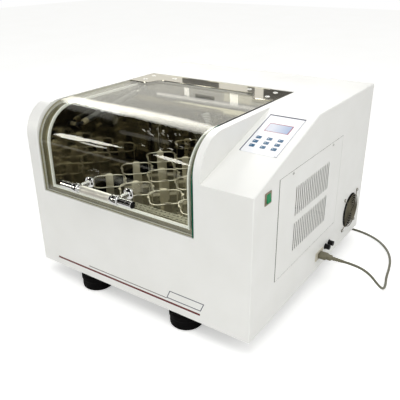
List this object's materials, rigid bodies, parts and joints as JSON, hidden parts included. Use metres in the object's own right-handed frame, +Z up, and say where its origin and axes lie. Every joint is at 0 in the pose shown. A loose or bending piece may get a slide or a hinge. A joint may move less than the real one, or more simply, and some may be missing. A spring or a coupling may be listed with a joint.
{
  "type": "incubated benchtop shaker",
  "caption": "Benchtop incubating shaker: white cabinet with sloped control housing, bent glass lid on a rear hinge, stainless chamber, orbital platform with spring flask clamps.",
  "frame": {"origin": "on the bench plane, under the middle of the overall size with the handle and the fuse caps, without the cord", "axes": "+Z up, +Y from the front with the handle to the back, +X to the operator's right, towards the control housing"},
  "size_m": [0.904, 0.9307, 0.5339],
  "materials": {
    "white_powder_coat": "smooth white powder coat",
    "galvanised_sheet": "galvanised sheet",
    "black_rubber": "moulded rubber, matt",
    "stainless_sheet": "stainless sheet, satin",
    "white_silicone": "extruded silicone",
    "insulation_foam": "pressed fibre board",
    "motor_paint": "black motor enamel",
    "aluminium": "turned",
    "cast_aluminium": "cast and machined",
    "polished_steel": "polished stainless",
    "black_plastic": "moulded, fine texture",
    "bright_wire": "plated wire",
    "zinc_screws": "zinc plated",
    "green_plastic": "moulded, glossy",
    "keypad_film": "printed membrane film",
    "key_film": "printed membrane film",
    "display_glass": "clear window",
    "circuit_board": "glass fibre laminate",
    "tempered_glass": "bent tempered glass",
    "chrome_tube": "chrome plated",
    "brushed_sleeve": "brushed and plated",
    "black_lacquer": "black lacquer",
    "clamp_steel": "satin spring steel",
    "cord_rubber": "grey PVC sheath"
  },
  "bodies": {
    "cabinet": {"cabinet_shell": "white_powder_coat", "rear_panel": "white_powder_coat", "base_pan": "galvanised_sheet", "rubber_feet": "black_rubber", "chamber_liner": "stainless_sheet", "rim_flange": "stainless_sheet", "lid_gasket": "white_silicone", "insulation": "insulation_foam", "duct_panel": "stainless_sheet", "circulation_fan_motor": "motor_paint", "air_heater": "stainless_sheet", "temperature_probe": "polished_steel", "service_panel": "white_powder_coat", "side_fan_frame": "black_plastic", "fan_guards": "bright_wire", "cabinet_screws": "zinc_screws", "power_inlet": "black_plastic", "fuse_holders": "black_plastic", "switch_bezel": "black_plastic", "keypad_plate": "keypad_film", "display_window": "display_glass", "control_electronics": "circuit_board", "lid_hinge": "stainless_sheet", "drive_frame": "aluminium", "drive_motor": "motor_paint", "drive_belt": "black_rubber", "cord_connector": "cord_rubber", "cord_tube": "cord_rubber", "cord_coil": "cord_rubber", "mains_plug": "cord_rubber"},
    "lid": {"lid_glass": "tempered_glass", "lid_hinge_strip": "polished_steel", "strip_screws": "zinc_screws", "handle_bar": "chrome_tube", "handle_sleeve": "brushed_sleeve", "handle_end_caps": "black_plastic", "handle_posts": "chrome_tube", "strut_lid_bracket": "stainless_sheet"},
    "strut_cylinder": {"strut_cylinder": "black_lacquer"},
    "strut_rod": {"strut_rod": "chrome_tube"},
    "drive_crank": {"drive_crank": "cast_aluminium"},
    "idler_crank_left": {"idler_crank_left": "cast_aluminium"},
    "idler_crank_right": {"idler_crank_right": "cast_aluminium"},
    "motor_pulley": {"motor_pulley": "aluminium"},
    "platform": {"platform_frame": "cast_aluminium", "shaker_tray": "stainless_sheet", "flask_clamps": "clamp_steel", "clamp_springs": "bright_wire"},
    "circulation_fan": {"circulation_fan": "aluminium"},
    "side_fan": {"side_fan_impeller": "black_plastic"},
    "power_rocker": {"power_rocker": "green_plastic"},
    "key_1": {"key_1": "key_film"},
    "key_2": {"key_2": "key_film"},
    "key_3": {"key_3": "key_film"},
    "key_4": {"key_4": "key_film"},
    "key_5": {"key_5": "key_film"},
    "key_6": {"key_6": "key_film"},
    "key_7": {"key_7": "key_film"},
    "key_8": {"key_8": "key_film"},
    "key_9": {"key_9": "key_film"}
  },
  "joints": [
    {"name": "lid_hinge", "type": "hinge", "parent": "cabinet", "child": "lid", "pos_m": [-0.058, 0.16125, 0.527], "axis": [-1, 0, 0], "range_deg": [0, 65]},
    {"name": "strut_pivot", "type": "hinge", "parent": "cabinet", "child": "strut_cylinder", "pos_m": [-0.2735, -0.23475, 0.46], "axis": [1, 0, 0], "range_deg": [0, 14.6]},
    {"name": "strut_slide", "type": "slide", "parent": "strut_cylinder", "child": "strut_rod", "axis": [0, 0.9859, 0.1671], "range_m": [0, 0.0711]},
    {"name": "drive_crank_spin", "type": "hinge", "parent": "cabinet", "child": "drive_crank", "pos_m": [-0.058, -0.15275, 0.196], "axis": [0, 0, 1], "continuous": true},
    {"name": "platform_pin", "type": "hinge", "parent": "drive_crank", "child": "platform", "pos_m": [-0.045, -0.15275, 0.215], "axis": [0, 0, 1], "continuous": true},
    {"name": "idler_crank_left_spin", "type": "hinge", "parent": "cabinet", "child": "idler_crank_left", "pos_m": [-0.178, -0.01275, 0.196], "axis": [0, 0, 1], "continuous": true},
    {"name": "idler_crank_right_spin", "type": "hinge", "parent": "cabinet", "child": "idler_crank_right", "pos_m": [0.062, -0.01275, 0.196], "axis": [0, 0, 1], "continuous": true},
    {"name": "motor_pulley_spin", "type": "hinge", "parent": "cabinet", "child": "motor_pulley", "pos_m": [0.077, -0.15275, 0.13], "axis": [0, 0, 1], "continuous": true},
    {"name": "circulation_fan_spin", "type": "hinge", "parent": "cabinet", "child": "circulation_fan", "pos_m": [-0.0675, 0.13825, 0.385], "axis": [0, 1, 0], "continuous": true},
    {"name": "side_fan_spin", "type": "hinge", "parent": "cabinet", "child": "side_fan", "pos_m": [0.3325, 0.29825, 0.145], "axis": [1, 0, 0], "continuous": true},
    {"name": "power_rocker_tilt", "type": "hinge", "parent": "cabinet", "child": "power_rocker", "pos_m": [0.3525, -0.27995, 0.4065], "axis": [0, 1, 0], "range_deg": [0, 18]},
    {"name": "key_1_press", "type": "slide", "parent": "cabinet", "child": "key_1", "axis": [0, 0.3059, -0.9521], "range_m": [0, 0.0005], "stiffness_N_per_m": 1500},
    {"name": "key_2_press", "type": "slide", "parent": "cabinet", "child": "key_2", "axis": [0, 0.3059, -0.9521], "range_m": [0, 0.0005], "stiffness_N_per_m": 1500},
    {"name": "key_3_press", "type": "slide", "parent": "cabinet", "child": "key_3", "axis": [0, 0.3059, -0.9521], "range_m": [0, 0.0005], "stiffness_N_per_m": 1500},
    {"name": "key_4_press", "type": "slide", "parent": "cabinet", "child": "key_4", "axis": [0, 0.3059, -0.9521], "range_m": [0, 0.0005], "stiffness_N_per_m": 1500},
    {"name": "key_5_press", "type": "slide", "parent": "cabinet", "child": "key_5", "axis": [0, 0.3059, -0.9521], "range_m": [0, 0.0005], "stiffness_N_per_m": 1500},
    {"name": "key_6_press", "type": "slide", "parent": "cabinet", "child": "key_6", "axis": [0, 0.3059, -0.9521], "range_m": [0, 0.0005], "stiffness_N_per_m": 1500},
    {"name": "key_7_press", "type": "slide", "parent": "cabinet", "child": "key_7", "axis": [0, 0.3059, -0.9521], "range_m": [0, 0.0005], "stiffness_N_per_m": 1500},
    {"name": "key_8_press", "type": "slide", "parent": "cabinet", "child": "key_8", "axis": [0, 0.3059, -0.9521], "range_m": [0, 0.0005], "stiffness_N_per_m": 1500},
    {"name": "key_9_press", "type": "slide", "parent": "cabinet", "child": "key_9", "axis": [0, 0.3059, -0.9521], "range_m": [0, 0.0005], "stiffness_N_per_m": 1500}
  ],
  "couplings": [
    {"joint": "strut_pivot", "follows": "lid_hinge", "ratio": 0.22321},
    {"joint": "strut_slide", "follows": "lid_hinge", "m_per_rad": 0.062628},
    {"joint": "platform_pin", "follows": "drive_crank_spin", "ratio": -1},
    {"joint": "idler_crank_left_spin", "follows": "drive_crank_spin", "ratio": 1},
    {"joint": "idler_crank_right_spin", "follows": "drive_crank_spin", "ratio": 1},
    {"joint": "motor_pulley_spin", "follows": "drive_crank_spin", "ratio": 3}
  ]
}
